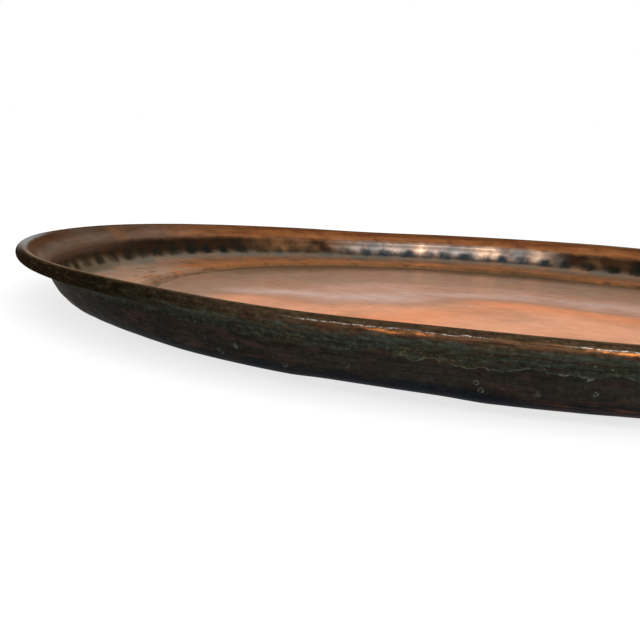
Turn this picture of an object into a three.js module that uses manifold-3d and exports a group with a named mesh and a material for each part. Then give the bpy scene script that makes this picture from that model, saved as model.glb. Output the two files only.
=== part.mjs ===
// A large round copper tray, raised from one sheet, with its rim rolled over a wire.
// Millimetres, +Z up. The origin is the middle of the underside, where the tray stands.

import * as THREE from 'three';
import { mergeVertices } from 'three/addons/utils/BufferGeometryUtils.js';
import Module from 'manifold-3d';

const wasm = await Module();
wasm.setup();

// Sheet, and the wire inside the rim. Widths and rises run along the middle of the sheet.
const sheetThickness = 1.2;
const wireDiameter = 6;
const wireClearance = 0.3; // all round the wire, inside the roll
const wireEndGap = 0.8; // between the two butted ends of the bent wire

// Well, the sunken flat middle, and the step up out of it
const wellRadius = 307;
const stepRun = 3;
const stepRise = 4.4;
const stepFillet = 2;

// Ledge round the well, and the wall with its round heel
const ledgeWidth = 65.5;
const wallLean = 2;
const wallRise = 24.1;
const heelFillet = 22;

// Flared lip, from the crease at the top of the wall to the middle of the wire
const lipWidth = 18;
const lipRise = 10.2;
const creaseFillet = 3;
const rollGap = 0.4; // from the raw edge of the roll to the underside of the lip

// Facets
const ringSteps = 72;
const wireSteps = 12;
const stepFilletSteps = 2;
const heelSteps = 6;
const creaseSteps = 2;
const rollSteps = 14;

// Worked out from the sizes above
const halfSheet = sheetThickness / 2;
const rollRadius = wireDiameter / 2 + wireClearance + halfSheet;
const stepFoot = new THREE.Vector2(wellRadius, halfSheet);
const stepTop = new THREE.Vector2(wellRadius + stepRun, halfSheet + stepRise);
const heelCorner = new THREE.Vector2(stepTop.x + ledgeWidth, stepTop.y);
const crease = new THREE.Vector2(heelCorner.x + wallLean, heelCorner.y + wallRise);
const wireCentre = new THREE.Vector2(crease.x + lipWidth, crease.y + lipRise);

// The lip is a straight flank that meets the roll tangentially, above the wire.
const toWire = wireCentre.clone().sub(crease);
const lipAngle = toWire.angle() + Math.asin(rollRadius / toWire.length());
const lipLength = Math.sqrt(toWire.lengthSq() - rollRadius ** 2);
const lipEnd = new THREE.Vector2(Math.cos(lipAngle), Math.sin(lipAngle))
  .multiplyScalar(lipLength)
  .add(crease);

// An arc of the sheet's middle line: its sweep is positive where the line turns left.
function arc(centre, radius, from, sweep, steps) {
  return { centre, radius, from, sweep, steps };
}

// The arc that rounds a corner between two straight stretches. Its radius is limited, so
// that it takes no more than the room that the shorter stretch has.
function fillet(before, corner, after, wanted, room, steps) {
  const incoming = corner.clone().sub(before).normalize();
  const outgoing = after.clone().sub(corner).normalize();
  const sweep = Math.atan2(incoming.cross(outgoing), incoming.dot(outgoing));
  const reach = Math.tan(Math.abs(sweep) / 2);
  const radius = Math.min(wanted, room / reach);
  const side = Math.sign(sweep);
  const start = corner.clone().addScaledVector(incoming, -radius * reach);
  const centre = new THREE.Vector2(-incoming.y, incoming.x)
    .multiplyScalar(side * radius)
    .add(start);
  const from = Math.atan2(start.y - centre.y, start.x - centre.x);
  return { ...arc(centre, radius, from, sweep, steps), reach: radius * reach };
}

// Points of an arc, moved to the left of the direction of travel by offset.
function arcPoints({ centre, radius, from, sweep, steps }, offset) {
  const moved = radius - Math.sign(sweep) * offset;
  return Array.from({ length: steps + 1 }, (_, i) => {
    const angle = from + (sweep * i) / steps;
    return new THREE.Vector2(Math.cos(angle), Math.sin(angle)).multiplyScalar(moved).add(centre);
  });
}

// The middle line of the sheet, from the tray's axis out to the raw edge inside the roll
function sheetLine() {
  const stepRoom = stepFoot.distanceTo(stepTop) / 2;
  const wallLength = heelCorner.distanceTo(crease);
  const creaseRoom = Math.min(wallLength, lipLength) / 2;
  const foot = fillet(new THREE.Vector2(0, halfSheet), stepFoot, stepTop, stepFillet, stepRoom,
    stepFilletSteps);
  const top = fillet(stepFoot, stepTop, heelCorner, stepFillet, stepRoom, stepFilletSteps);
  const bend = fillet(heelCorner, crease, lipEnd, creaseFillet, creaseRoom, creaseSteps);
  const heelRoom = Math.min(wallLength - bend.reach, ledgeWidth - top.reach);
  const heel = fillet(stepTop, heelCorner, crease, heelFillet, heelRoom, heelSteps);

  const rollInside = rollRadius - halfSheet;
  const rollOutside = rollRadius + halfSheet;
  const open = Math.acos((rollInside - rollGap) / rollOutside);
  const roll = arc(wireCentre, rollRadius, lipAngle + Math.PI / 2, open - 2 * Math.PI, rollSteps);
  return [foot, top, heel, bend, roll];
}

// Lathes a closed outline round the tray's axis, with its faces pointing out.
function ring(outline, steps) {
  const geometry = new THREE.LatheGeometry([...outline, outline[0]], steps);
  geometry.rotateX(Math.PI / 2);
  return geometry;
}

function toSolid(geometry) {
  const bare = geometry.clone();
  bare.deleteAttribute('normal');
  bare.deleteAttribute('uv');
  const merged = mergeVertices(bare, 1e-4);
  return new wasm.Manifold(new wasm.Mesh({
    numProp: 3,
    vertProperties: Float32Array.from(merged.attributes.position.array),
    triVerts: Uint32Array.from(merged.index.array),
  }));
}

function toGeometry(solid) {
  const { vertProperties, triVerts } = solid.getMesh();
  const geometry = new THREE.BufferGeometry();
  geometry.setAttribute('position', new THREE.BufferAttribute(vertProperties, 3));
  geometry.setIndex(new THREE.BufferAttribute(triVerts, 1));
  geometry.computeVertexNormals();
  return geometry;
}

// The whole tray is one raised sheet: well, step, ledge, heel, wall, lip and roll.
function traySheet() {
  const line = sheetLine();
  const upper = line.flatMap((piece) => arcPoints(piece, halfSheet));
  const lower = line.flatMap((piece) => arcPoints(piece, -halfSheet));
  const outline = [
    new THREE.Vector2(0, 0),
    ...lower,
    ...upper.reverse(),
    new THREE.Vector2(0, sheetThickness),
  ];
  const mesh = new THREE.Mesh(ring(outline, ringSteps), new THREE.MeshStandardMaterial({
    color: 0x8f5a3c, roughness: 0.42, metalness: 1,
  }));
  mesh.name = 'tray_sheet';
  return mesh;
}

// One length of wire bent into a ring, with its ends butted inside the roll
function rimWire() {
  const outline = Array.from({ length: wireSteps }, (_, i) => {
    const angle = (2 * Math.PI * i) / wireSteps;
    return new THREE.Vector2(Math.cos(angle), Math.sin(angle))
      .multiplyScalar(wireDiameter / 2)
      .add(wireCentre);
  });
  const cutter = new THREE.BoxGeometry(2 * wireDiameter, wireEndGap, 2 * wireDiameter);
  cutter.translate(-wireCentre.x, 0, wireCentre.y);
  const cut = toSolid(ring(outline, ringSteps)).subtract(toSolid(cutter));
  const mesh = new THREE.Mesh(toGeometry(cut), new THREE.MeshStandardMaterial({
    color: 0x3b352f, roughness: 0.7, metalness: 1,
  }));
  mesh.name = 'rim_wire';
  return mesh;
}

const tray = new THREE.Group();
tray.name = 'copper_tray';
tray.add(traySheet(), rimWire());

export default tray;
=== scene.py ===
# %% [markdown]
# # A large copper tray
#
# The real tray is one sheet of copper, hammered up over a stake into a shallow dish, with its
# edge rolled over a wire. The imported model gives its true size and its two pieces. This lesson
# makes the same two pieces again with a fine surface: hammer marks, a polished well, brown
# tarnish, and the green crust that grows where nobody polishes.

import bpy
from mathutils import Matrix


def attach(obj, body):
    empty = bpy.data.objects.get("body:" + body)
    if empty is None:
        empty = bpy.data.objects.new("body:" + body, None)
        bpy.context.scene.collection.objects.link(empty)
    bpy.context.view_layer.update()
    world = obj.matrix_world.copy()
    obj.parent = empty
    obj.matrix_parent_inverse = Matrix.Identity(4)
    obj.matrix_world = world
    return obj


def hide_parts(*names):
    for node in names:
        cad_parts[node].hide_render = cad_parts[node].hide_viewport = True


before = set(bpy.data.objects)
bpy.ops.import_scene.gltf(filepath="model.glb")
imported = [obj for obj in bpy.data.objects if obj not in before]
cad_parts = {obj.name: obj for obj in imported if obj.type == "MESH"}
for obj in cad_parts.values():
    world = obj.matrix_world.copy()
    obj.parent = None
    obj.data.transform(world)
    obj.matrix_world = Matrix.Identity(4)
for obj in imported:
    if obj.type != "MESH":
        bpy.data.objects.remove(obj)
print("loaded", len(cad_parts), "CAD nodes")

# %% Modules and units
import math

import bmesh
import bpy
import numpy as np
from mathutils import Matrix, Vector

MM = 1000  # millimetres in a metre

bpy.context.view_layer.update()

# %% [markdown]
# ## The camera
#
# The photograph was taken a hand's breadth above the rim, from just outside it, with the
# horizon slightly tilted. A camera is placed by three things: where it stands, how far it looks
# down, and how far it is rolled. Rolling a camera is a turn about its own Z axis, so it is
# applied first, before the tilt.

# %% Place the camera
CAMERA_PLACE = Vector((-0.1568, -0.7032, 0.0975))
LOOKS_DOWN = math.radians(9.52)
ROLL = math.radians(3.62)
LENS_MM = 45
SENSOR_MM = 36

camera = bpy.data.objects.new("camera", bpy.data.cameras.new("camera"))
camera.data.lens = LENS_MM
camera.data.sensor_width = SENSOR_MM
camera.matrix_world = (
    Matrix.Translation(CAMERA_PLACE)
    @ Matrix.Rotation(math.pi / 2 - LOOKS_DOWN, 4, "X")
    @ Matrix.Rotation(ROLL, 4, "Z")
)
bpy.context.scene.collection.objects.link(camera)
bpy.context.scene.camera = camera
print("camera", LENS_MM, "mm,", round(CAMERA_PLACE.z * MM), "mm above the table")

# %% [markdown]
# ## The section of the sheet
#
# Everything on a round tray is one drawing turned about its axis, so the drawing matters most.
# A coppersmith would give it as a walk along the metal: so far straight, then a bend of this
# radius. The same walk can be modelled with two operators, extrude for a straight run and spin
# for a bend. Walking along the middle of the sheet keeps its thickness for a later step.

# %% Sizes of the section, in metres
SHEET = 0.0012
WIRE_RADIUS = 0.003
WIRE_CLEARANCE = 0.0003
WIRE_END_GAP = 0.0008
WELL_RADIUS = 0.307
STEP_RUN = 0.003
STEP_RISE = 0.0044
STEP_BEND = 0.002
LEDGE_WIDTH = 0.0655
WALL_LEAN = 0.002
WALL_RISE = 0.0241
HEEL_BEND = 0.022
LIP_WIDTH = 0.018
LIP_RISE = 0.0102
CREASE_BEND = 0.003
ROLL_GAP = 0.0004

roll_radius = WIRE_RADIUS + WIRE_CLEARANCE + SHEET / 2
crease_radius = WELL_RADIUS + STEP_RUN + LEDGE_WIDTH + WALL_LEAN
wire_ring_radius = crease_radius + LIP_WIDTH
wire_height = SHEET / 2 + STEP_RISE + WALL_RISE + LIP_RISE
print(f"the roll reaches {(wire_ring_radius + roll_radius + SHEET / 2) * MM:.1f} mm")

# %% [markdown]
# ## Walking the section
#
# Each bend eats a bit of the two straight runs beside it: its radius times the tangent of half
# the turn. The lip has no such corner at its end, because it runs into the roll as a tangent.

# %% Walk along the sheet with extrude and spin
step_slope = math.atan2(STEP_RISE, STEP_RUN)
wall_slope = math.atan2(WALL_RISE, WALL_LEAN)
to_wire = Vector((LIP_WIDTH, LIP_RISE))
lip_slope = math.atan2(LIP_RISE, LIP_WIDTH) + math.asin(roll_radius / to_wire.length)
lip_run = math.sqrt(to_wire.length_squared - roll_radius**2)
roll_turn = 2 * math.pi - math.acos(
    (roll_radius - SHEET / 2 - ROLL_GAP) / (roll_radius + SHEET / 2)
)


def eaten(bend, turn):
    """How much of the straight run beside it a bend takes up."""
    return bend * math.tan(abs(turn) / 2)


class Walk:
    """A pen that draws the section as a chain of vertices in the XZ plane."""

    def __init__(self, start):
        self.bm = bmesh.new()
        self.across = self.bm.verts.layers.float.new("across")
        self.dent = self.bm.verts.layers.float.new("dent")
        self.pen = bmesh.ops.create_vert(self.bm, co=start)["vert"][0]
        self.slope = 0.0
        self.stations = {}

    def straight(self, length, steps):
        stride = Vector((math.cos(self.slope), 0, math.sin(self.slope))) * (length / steps)
        for _ in range(steps):
            out = bmesh.ops.extrude_vert_indiv(self.bm, verts=[self.pen])
            self.pen = out["verts"][0]
            self.pen.co += stride

    def bend(self, radius, turn, steps):
        left = Vector((-math.sin(self.slope), 0, math.cos(self.slope)))
        centre = self.pen.co + left * math.copysign(radius, turn)
        out = bmesh.ops.spin(self.bm, geom=[self.pen], cent=centre, axis=(0, -1, 0),
                             angle=turn, steps=steps, use_duplicate=False)
        self.pen = next(v for v in out["geom_last"] if isinstance(v, bmesh.types.BMVert))
        self.slope += turn

    def mark(self, name):
        self.stations[name] = self.pen


walk = Walk((0, 0, SHEET / 2))
step_eats = eaten(STEP_BEND, step_slope)
heel_eats = eaten(HEEL_BEND, wall_slope)
crease_eats = eaten(CREASE_BEND, wall_slope - lip_slope)
walk.straight(WELL_RADIUS - step_eats, steps=20)
walk.mark("step foot")
walk.bend(STEP_BEND, step_slope, steps=3)
walk.straight(math.hypot(STEP_RUN, STEP_RISE) - 2 * step_eats, steps=2)
walk.bend(STEP_BEND, -step_slope, steps=3)
walk.mark("step top")
walk.straight(LEDGE_WIDTH - step_eats - heel_eats, steps=10)
walk.mark("heel foot")
walk.bend(HEEL_BEND, wall_slope, steps=14)
walk.straight(math.hypot(WALL_LEAN, WALL_RISE) - heel_eats - crease_eats, steps=1)
walk.mark("crease")
walk.bend(CREASE_BEND, lip_slope - wall_slope, steps=4)
walk.straight(lip_run - crease_eats, steps=5)
walk.mark("roll start")
walk.bend(roll_radius, -roll_turn, steps=20)
walk.mark("raw edge")
print("section drawn with", len(walk.bm.verts), "vertices")

# %% [markdown]
# ## Measuring along the metal
#
# Tarnish follows the shape of the tray: the well, the ledge, the wall and the rim each have their
# own colour. So every vertex keeps a number, across, that says how far along the metal it lies
# from the middle of the tray, in millimetres. Spin copies the number to every turned copy.

# %% Store the distance along the metal on each vertex
across, dent = walk.across, walk.dent
walk.bm.verts.ensure_lookup_table()
travelled = 0.0
for before, after in zip(walk.bm.verts[:], walk.bm.verts[1:]):
    travelled += (after.co - before.co).length * MM
    after[across] = travelled
station = {name: vert[across] for name, vert in walk.stations.items()}
station["rim top"] = station["roll start"] + MM * roll_radius * lip_slope
station["rim outside"] = station["rim top"] + MM * roll_radius * math.pi / 2
print("along the metal, mm:", {name: round(at, 1) for name, at in station.items()})

# %% [markdown]
# ## Turning the section into a tray
#
# One full spin makes the whole sheet. use_merge joins the last copy to the first, and
# remove_doubles closes the pole in the middle, where every copy of the first vertex lands.

# %% Spin the sheet
RING_STEPS = 576

sheet = walk.bm
bmesh.ops.spin(sheet, geom=sheet.verts[:] + sheet.edges[:], cent=(0, 0, 0), axis=(0, 0, 1),
               angle=2 * math.pi, steps=RING_STEPS, use_merge=True, use_duplicate=False)
bmesh.ops.remove_doubles(sheet, verts=sheet.verts[:], dist=1e-6)
sheet.faces.ensure_lookup_table()
bmesh.ops.recalc_face_normals(sheet, faces=sheet.faces[:])
if min(sheet.faces, key=lambda face: face.calc_center_median().xy.length).normal.z < 0:
    bmesh.ops.reverse_faces(sheet, faces=sheet.faces[:])
sheet.normal_update()
print("sheet spun:", len(sheet.faces), "faces")

# %% [markdown]
# ## Hammer marks
#
# A planishing hammer leaves shallow dents side by side, with a soft ridge where two meet. A dent
# is a small paraboloid: deepest in the middle, nothing at its border. They sit in rows that run
# round the tray. No two are quite as wide or as deep, so seeded random numbers vary them: the
# seed makes them the same on every run.

# %% Push the dents into the sheet
WIDTH_SPREAD = (0.7, 1.3)
DEPTH_SPREAD = (0.55, 1.0)


class HammerRow:
    """One row of dents round the tray, between two distances along the metal, in mm."""

    def __init__(self, low, high, count, depth, seed):
        widths = np.random.default_rng(seed).uniform(*WIDTH_SPREAD, count)
        depths = np.random.default_rng(seed + 1).uniform(*DEPTH_SPREAD, count)
        self.low, self.high = low, high
        self.borders = np.cumsum(widths) / widths.sum() * 2 * math.pi
        self.widths = widths / widths.sum() * 2 * math.pi
        self.depths = depths * depth

    def shape(self, angle, along):
        """(depth in metres, 0 to 1 how near the middle of a dent)"""
        if not self.low < along < self.high:
            return 0.0, 0.0
        k = min(int(np.searchsorted(self.borders, angle)), len(self.borders) - 1)
        u = 2 * (self.borders[k] - angle) / self.widths[k] - 1
        w = 2 * (along - self.low) / (self.high - self.low) - 1
        hollow = (1 - u * u) * (1 - w * w)
        return self.depths[k] * hollow, hollow


heel_foot, crease_line = station["heel foot"], station["crease"]
hammer_rows = [
    HammerRow(heel_foot + 8, crease_line - 1, count=88, depth=0.0005, seed=3),
    HammerRow(heel_foot - 18, heel_foot + 6, count=84, depth=0.00035, seed=5),
    HammerRow(station["step top"] + 1, heel_foot - 16, count=96, depth=0.0003, seed=7),
]
for vert in sheet.verts:
    angle = math.atan2(vert.co.y, vert.co.x) % (2 * math.pi)
    for row in hammer_rows:
        depth, hollow = row.shape(angle, vert[across])
        vert.co -= vert.normal * depth
        vert[dent] = max(vert[dent], hollow)
print("hammer rows:", [len(row.borders) for row in hammer_rows])

# %% [markdown]
# ## Knocks and sags
#
# A tray this wide is carried on edge and set down hard. The heel has a few flattened places, and
# the rim is no longer level: it sags at the back and springs up beside it. Each is a hump along
# the ring, given by its middle and half width in degrees and its height in millimetres.

# %% Knock the heel and bend the rim
HEEL_KNOCKS = [(249.5, 8, 1.3), (213, 19, 1.2), (196, 16, 1.4), (20, 10, 1.2), (75, 6, 0.8),
               (140, 12, 1.0), (312, 9, 1.4), (345, 6, 0.9)]
RIM_SAGS = [(103, 44, -3.2), (104, 16, -0.9), (160, 22, 0.7), (55, 16, 0.6), (207, 22, -0.7),
            (243, 12, -0.7), (258, 14, 0.2), (330, 40, -1.2), (15, 30, 0.8)]
KNOCK_BELOW_HEEL, KNOCK_ABOVE_CREASE = 12, 2
knocked_width = crease_line - heel_foot + (KNOCK_BELOW_HEEL + KNOCK_ABOVE_CREASE)


def humps(degrees, table, flatness):
    """Height of all humps here, in metres. A higher flatness gives them flatter tops."""
    total = 0.0
    for middle, half_width, height in table:
        away = abs((degrees - middle + 180) % 360 - 180) / half_width
        if away < 1:
            total += height / MM * (1 - away**flatness) ** 2
    return total


sheet.normal_update()
for vert in sheet.verts:
    degrees = math.degrees(math.atan2(vert.co.y, vert.co.x))
    up_heel = (vert[across] - heel_foot + KNOCK_BELOW_HEEL) / knocked_width
    if 0 < up_heel < 1:
        knock = humps(degrees, HEEL_KNOCKS, flatness=4)
        vert.co += vert.normal * knock * math.sin(math.pi * up_heel)
    up_wall = (vert[across] - heel_foot) / (station["rim top"] - heel_foot)
    vert.co.z += humps(degrees, RIM_SAGS, flatness=2) * min(1.0, max(0.0, up_wall))
print("knocks:", len(HEEL_KNOCKS), "sags:", len(RIM_SAGS))

# %% [markdown]
# ## A sheet that isn't quite flat
#
# Beaten sheet keeps long, shallow waves. They are far too small to see as a shape, but a
# polished well shows them at once, because each wave bends what is mirrored in it. A sum of a
# few slow waves is enough: each has a height, two numbers that give its direction and how close
# its crests are, and a start. The well is lifted a little too, so that none dips into the table.

# %% Bend the well slightly
WELL_WAVE = 0.00012
WAVES = [(1.0, 31, 12, 0.4), (0.8, -17, 38, 1.9), (0.6, 55, -23, 4.1), (0.4, 47, 71, 2.2)]
LIFT = 3


def slow_waves(x, y):
    return sum(height * math.sin(along_x * x + along_y * y + start)
               for height, along_x, along_y, start in WAVES)


for vert in sheet.verts:
    if vert[across] < station["step foot"]:
        vert.co.z += WELL_WAVE * (slow_waves(vert.co.x, vert.co.y) + LIFT)
highest = WELL_WAVE * (sum(wave[0] for wave in WAVES) + LIFT)
print("well lifted at most", round(highest * MM, 2), "mm")

# %% [markdown]
# ## Thickness
#
# The walked surface is the middle of the sheet. A Solidify modifier with no offset gives it its
# thickness on both sides at once, so a dent inside is a bump outside, as on the real sheet. Its
# material offset paints the far side with the next material.

# %% Helpers that finish a mesh
SHARP_DEGREES = 50


def finished_object(name, bm):
    """Puts a bmesh into the scene as a smoothly shaded object."""
    mesh = bpy.data.meshes.new(name)
    bm.to_mesh(mesh)
    bm.free()
    made = bpy.data.objects.new(name, mesh)
    bpy.context.scene.collection.objects.link(made)
    for polygon in mesh.polygons:
        polygon.use_smooth = True
    return made


def bake_modifiers(made):
    """Replaces the mesh by what the modifiers make of it."""
    graph = bpy.context.evaluated_depsgraph_get()
    mesh = bpy.data.meshes.new_from_object(made.evaluated_get(graph), depsgraph=graph)
    made.modifiers.clear()
    made.data = mesh
    mesh.set_sharp_from_angle(angle=math.radians(SHARP_DEGREES))


print("edges sharper than", SHARP_DEGREES, "degrees stay sharp")

# %% Solidify the sheet and wrap it as an object
tray = finished_object("raised_sheet", sheet)
inside = bpy.data.materials.new("polished_and_tarnished_copper")
outside = bpy.data.materials.new("crusted_copper")
tray.data.materials.append(inside)
tray.data.materials.append(outside)
thicken = tray.modifiers.new("sheet thickness", "SOLIDIFY")
thicken.thickness = SHEET
thicken.offset = 0
thicken.use_even_offset = True
thicken.material_offset = 1
thicken.material_offset_rim = 1
bake_modifiers(tray)
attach(tray, "root")
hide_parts("tray_sheet")
print("raised sheet:", sum(len(p.vertices) - 2 for p in tray.data.polygons), "triangles")

# %% [markdown]
# ## The wire
#
# The wire is a rod bent round until its ends butt together. A circle spun through a little less
# than a full turn makes it, and its two end faces close it. It sags with the rim that grips it,
# or it would come out through the roll.

# %% Bend the wire
WIRE_SIDES = 12

rod = bmesh.new()
bmesh.ops.create_circle(rod, cap_ends=True, radius=WIRE_RADIUS, segments=WIRE_SIDES,
                        matrix=Matrix.Translation((wire_ring_radius, 0, wire_height))
                        @ Matrix.Rotation(math.pi / 2, 4, "X"))
gap_angle = WIRE_END_GAP / wire_ring_radius
bmesh.ops.rotate(rod, verts=rod.verts[:], cent=(0, 0, 0),
                 matrix=Matrix.Rotation(math.pi + gap_angle / 2, 3, "Z"))
bmesh.ops.spin(rod, geom=rod.faces[:], cent=(0, 0, 0), axis=(0, 0, 1),
               angle=2 * math.pi - gap_angle, steps=RING_STEPS // 2, use_duplicate=False)
bmesh.ops.recalc_face_normals(rod, faces=rod.faces[:])
for vert in rod.verts:
    degrees = math.degrees(math.atan2(vert.co.y, vert.co.x))
    vert.co.z += humps(degrees, RIM_SAGS, flatness=2)
wire = finished_object("bent_wire", rod)
iron = bpy.data.materials.new("dull_iron")
wire.data.materials.append(iron)
wire.data.set_sharp_from_angle(angle=math.radians(SHARP_DEGREES))
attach(wire, "root")
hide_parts("rim_wire")
print("wire:", len(wire.data.polygons), "faces")

# %% [markdown]
# ## Nodes without the clutter
#
# A material here is a small calculation: how much of each finish is on this spot of the metal?
# A few helpers keep it readable. The first adds a node and fills its inputs: a socket is linked,
# a plain value is set. The others add the nodes that are used again and again.

# %% Helpers that add nodes
def add(tree, kind, values, **settings):
    """Adds a node. values fill its inputs, settings are its own properties."""
    node = tree.nodes.new(kind)
    for name, setting in settings.items():
        setattr(node, name, setting)
    for key, value in values.items():
        if isinstance(value, bpy.types.NodeSocket):
            tree.links.new(value, node.inputs[key])
        else:
            node.inputs[key].default_value = value
    return node


def calculate(tree, operation, *values):
    return add(tree, "ShaderNodeMath", dict(enumerate(values)), operation=operation).outputs[0]


def calculate_vector(tree, operation, *values):
    node = add(tree, "ShaderNodeVectorMath", dict(enumerate(values)), operation=operation)
    return node.outputs["Value" if operation in ("LENGTH", "DOT_PRODUCT") else "Vector"]


def climb(tree, value, low, high):
    """0 below low, 1 above high, and a smooth climb between."""
    return add(tree, "ShaderNodeMapRange", {"Value": value, "From Min": low, "From Max": high},
               interpolation_type="SMOOTHSTEP").outputs["Result"]


def soft_edge(tree, value, edge, softness):
    """A climb from 0 to 1 that is halfway at the edge."""
    return climb(tree, value, calculate(tree, "SUBTRACT", edge, softness),
                 calculate(tree, "ADD", edge, softness))


def mixed(tree, share, below, above, data_type="FLOAT"):
    """below where share is 0, above where it is 1, for numbers or colours."""
    first = {"FLOAT": 2, "RGBA": 6}[data_type]
    mix = add(tree, "ShaderNodeMix", {0: share, first: below, first + 1: above},
              data_type=data_type)
    return mix.outputs[{"FLOAT": 0, "RGBA": 2}[data_type]]


def object_place(tree):
    """Where a point is on the object, in metres."""
    return tree.nodes.new("ShaderNodeTexCoord").outputs["Object"]


def stored(tree, name):
    """A number that the mesh keeps on its vertices."""
    return add(tree, "ShaderNodeAttribute", {}, attribute_name=name).outputs["Fac"]


print("helpers that add nodes are ready")

# %% [markdown]
# ## Colours and groups
#
# Colours are easiest to pick on a screen, but nodes calculate with light, so paint translates
# them. An effect that comes back with other numbers is a node group: it is built once, and each
# material places it with its own values. The sockets of a group are made first.

# %% Helpers for colours and groups
def paint(red, green, blue):
    """A screen colour, 0 to 255, as the linear one nodes use. A tint above 255 brightens."""
    channels = [value / 255 for value in (red, green, blue)]
    return [c / 12.92 if c <= 0.04045 else ((c + 0.055) / 1.055) ** 2.4 for c in channels] + [1]


def new_group(name, inputs, outputs):
    """A node group with number sockets: (the group, its inputs inside, its outputs inside)."""
    group = bpy.data.node_groups.new(name, "ShaderNodeTree")
    for label, value in inputs.items():
        group.interface.new_socket(name=label, in_out="INPUT",
                                   socket_type="NodeSocketFloat").default_value = value
    for label in outputs:
        group.interface.new_socket(name=label, in_out="OUTPUT", socket_type="NodeSocketFloat")
    given = group.nodes.new("NodeGroupInput").outputs
    result = group.nodes.new("NodeGroupOutput").inputs
    return group, given, result


def use(tree, group, **values):
    """Places a group. A word in values stands for the socket of that name, such as Size."""
    named = {key.capitalize(): value for key, value in values.items()}
    return add(tree, "ShaderNodeGroup", named, node_tree=group).outputs


print("mid grey on a screen is", round(paint(128, 128, 128)[0], 2), "of full light")

# %% [markdown]
# ## Patches
#
# Old metal is never one colour. The plainest stain is a cloud: noise in space, cut at a level
# that decides how much of the surface it covers. Sizes are in millimetres, so that a patch can
# be measured on the real thing and typed in.

# %% Group: patches
NOISE_BOTTOM, NOISE_TOP = 0.32, 0.68


def cut(tree, noise, given):
    """Turns noise into patches: Cover says how much they cover, Softness how soft they end."""
    level = calculate(tree, "MULTIPLY_ADD", given["Cover"], NOISE_BOTTOM - NOISE_TOP, NOISE_TOP)
    return soft_edge(tree, noise, level, given["Softness"])


patches, given, result = new_group(
    "patches", {"Size": 20, "Cover": 0.5, "Softness": 0.1, "Seed": 0}, ["Mask"])
cloud = add(patches, "ShaderNodeTexNoise",
            {"Vector": object_place(patches), "W": given["Seed"],
             "Scale": calculate(patches, "DIVIDE", MM, given["Size"]),
             "Detail": 5, "Roughness": 0.6, "Distortion": 0.5}, noise_dimensions="4D")
patches.links.new(cut(patches, cloud.outputs[0], given), result["Mask"])
print("patches:", len(patches.nodes), "nodes")

# %% [markdown]
# ## Streaks
#
# Wiping, turning and dripping leave marks that run round the tray. The same noise does that if
# it is read in a stretched space: the way round the ring, shrunk by the length of a streak, and
# the way across the metal, shrunk by its width. The way round is a direction from the axis, not
# an angle, because an angle would jump where it starts again at zero.

# %% Group: streaks
RING_MM = 390
LEVEL = (1, 1, 0)


def away_from_axis(tree):
    """The direction from the tray's axis to a point, one long and level."""
    return calculate_vector(tree, "NORMALIZE",
                            calculate_vector(tree, "MULTIPLY", object_place(tree), LEVEL))


streaks, given, result = new_group(
    "streaks", {"Length": 80, "Width": 3, "Cover": 0.5, "Softness": 0.1, "Seed": 0}, ["Mask"])
around = add(streaks, "ShaderNodeVectorMath",
             {0: away_from_axis(streaks),
              "Scale": calculate(streaks, "DIVIDE", RING_MM, given["Length"])},
             operation="SCALE")
widths_over = calculate(streaks, "DIVIDE", stored(streaks, "across"), given["Width"])
over = add(streaks, "ShaderNodeCombineXYZ", {"Z": widths_over})
stretched = calculate_vector(streaks, "ADD", around.outputs["Vector"], over.outputs[0])
grain = add(streaks, "ShaderNodeTexNoise",
            {"Vector": stretched, "W": given["Seed"], "Scale": 1, "Detail": 4,
             "Roughness": 0.6}, noise_dimensions="4D")
streaks.links.new(cut(streaks, grain.outputs[0], given), result["Mask"])
print("streaks:", len(streaks.nodes), "nodes")

# %% [markdown]
# ## Bands
#
# Well, ledge, wall, lip and rim each have their own finish, and none ends in a clean line. A band
# lies between two distances along the metal. A little noise added to the distance first makes
# its borders wander. Noise mostly stays within a fifth of its middle, so five times it reaches
# about as far as the wander that is asked for.

# %% Group: band
NOISE_TO_WANDER = 5

band, given, result = new_group(
    "band", {"Start": 0, "End": 10, "Wander": 1, "Size": 15, "Softness": 1, "Seed": 0}, ["Mask"])
ripple = add(band, "ShaderNodeTexNoise",
             {"Vector": object_place(band), "W": given["Seed"],
              "Scale": calculate(band, "DIVIDE", MM, given["Size"]), "Detail": 5,
              "Roughness": 0.6}, noise_dimensions="4D")
pushed = calculate(band, "MULTIPLY_ADD", calculate(band, "SUBTRACT", ripple.outputs[0], 0.5),
                   calculate(band, "MULTIPLY", given["Wander"], NOISE_TO_WANDER),
                   stored(band, "across"))
entered = soft_edge(band, pushed, given["Start"], given["Softness"])
left = soft_edge(band, pushed, given["End"], given["Softness"])
band.links.new(calculate(band, "SUBTRACT", entered, left), result["Mask"])
print("band:", len(band.nodes), "nodes")

# %% [markdown]
# ## Spots
#
# Drops of water leave round spots with a pale border. Voronoi cells scatter them: each cell has
# one middle, and the distance to it gives a disc or a ring. The cell's random colour decides
# whether this cell has a spot at all, and how wide it is. The ring's two borders are given as
# parts of the spot's radius, and fine noise roughens them.

# %% Group: spots
EDGE_GRAIN = 500
RING_INSIDE = (0.45, 0.75)
RING_OUTSIDE = (0.85, 1.1)

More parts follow.
